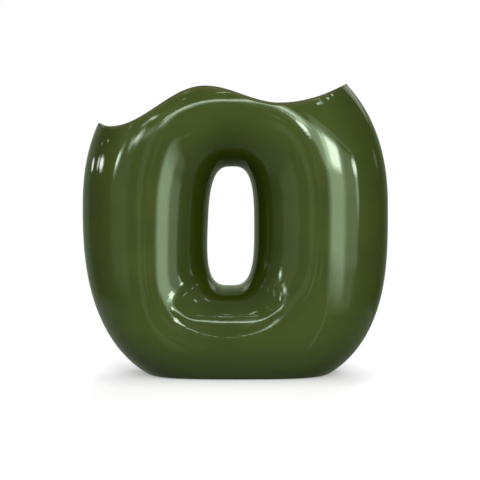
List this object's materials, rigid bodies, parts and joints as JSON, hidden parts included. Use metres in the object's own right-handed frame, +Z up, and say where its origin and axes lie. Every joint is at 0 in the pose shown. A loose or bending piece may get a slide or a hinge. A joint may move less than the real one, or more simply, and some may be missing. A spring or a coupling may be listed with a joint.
{
  "type": "sculptural vase",
  "caption": "Glazed ceramic ring vase with an upright slot through its middle, a wavy open lip and a flat foot.",
  "frame": {"origin": "on the table under the middle of the body, at the bottom of the foot pads", "axes": "+Z up, the front faces -Y, +X towards the higher tip of the lip"},
  "size_m": [0.28, 0.104, 0.2647],
  "materials": {
    "green_glaze": "gloss olive green glaze",
    "bare_stoneware": "matt unglazed stoneware",
    "pad_felt": "pale self-adhesive felt"
  },
  "bodies": {
    "root": {"front_shell": "green_glaze", "back_shell": "green_glaze", "base_slab": "bare_stoneware", "foot_pads": "pad_felt"}
  },
  "joints": []
}
